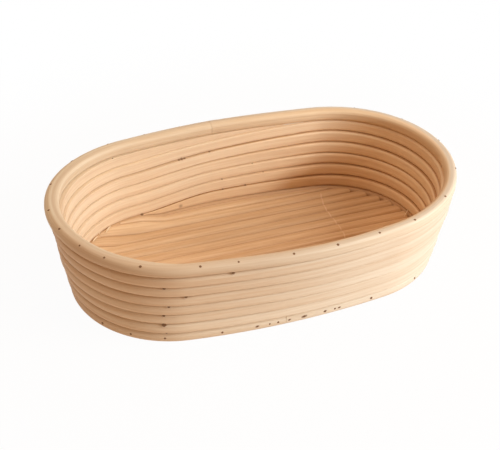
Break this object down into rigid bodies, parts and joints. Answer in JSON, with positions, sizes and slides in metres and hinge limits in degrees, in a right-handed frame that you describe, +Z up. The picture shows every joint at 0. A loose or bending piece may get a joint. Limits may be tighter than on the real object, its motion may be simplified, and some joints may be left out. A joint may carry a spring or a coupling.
{
  "type": "proofing basket",
  "caption": "Oval proofing basket with a wall of one coiled rattan cane on a floor of straight rods, topped by a nailed rim hoop.",
  "frame": {"origin": "centre of the footprint, on the surface the basket stands on", "axes": "+X along the oval's length, +Y towards its back, +Z up"},
  "size_m": [0.2684, 0.1624, 0.065],
  "materials": {
    "wall_cane": "dry satin cane",
    "ring_cane": "dry satin cane",
    "rim_cane": "dry satin cane",
    "floor_cane": "dry satin cane",
    "pin_steel": "plain wire",
    "nail_steel": "dull dark"
  },
  "bodies": {
    "root": {"wall_coil": "wall_cane", "base_ring": "ring_cane", "rim_hoop": "rim_cane", "floor_rod_01": "floor_cane", "floor_rod_02": "floor_cane", "floor_rod_03": "floor_cane", "floor_rod_04": "floor_cane", "floor_rod_05": "floor_cane", "floor_rod_06": "floor_cane", "floor_rod_07": "floor_cane", "floor_rod_08": "floor_cane", "floor_rod_09": "floor_cane", "floor_rod_10": "floor_cane", "floor_rod_11": "floor_cane", "floor_rod_12": "floor_cane", "floor_rod_13": "floor_cane", "floor_rod_14": "floor_cane", "floor_rod_15": "floor_cane", "floor_pin_01": "pin_steel", "floor_pin_02": "pin_steel", "rim_nail_01": "nail_steel", "rim_nail_02": "nail_steel", "rim_nail_03": "nail_steel", "rim_nail_04": "nail_steel", "rim_nail_05": "nail_steel", "rim_nail_06": "nail_steel", "rim_nail_07": "nail_steel", "rim_nail_08": "nail_steel", "rim_nail_09": "nail_steel", "rim_nail_10": "nail_steel", "rim_nail_11": "nail_steel", "rim_nail_12": "nail_steel", "rim_nail_13": "nail_steel", "rim_nail_14": "nail_steel", "rim_nail_15": "nail_steel", "rim_nail_16": "nail_steel", "rim_nail_17": "nail_steel", "rim_nail_18": "nail_steel", "rim_nail_19": "nail_steel", "rim_nail_20": "nail_steel", "rim_nail_21": "nail_steel", "ring_nail_01": "nail_steel", "ring_nail_02": "nail_steel", "ring_nail_03": "nail_steel", "ring_nail_04": "nail_steel", "ring_nail_05": "nail_steel", "ring_nail_06": "nail_steel", "ring_nail_07": "nail_steel", "ring_nail_08": "nail_steel", "ring_nail_09": "nail_steel", "ring_nail_10": "nail_steel", "ring_nail_11": "nail_steel", "ring_nail_12": "nail_steel", "ring_nail_13": "nail_steel", "ring_nail_14": "nail_steel", "ring_nail_15": "nail_steel", "ring_nail_16": "nail_steel", "ring_nail_17": "nail_steel", "ring_nail_18": "nail_steel"}
  },
  "joints": []
}
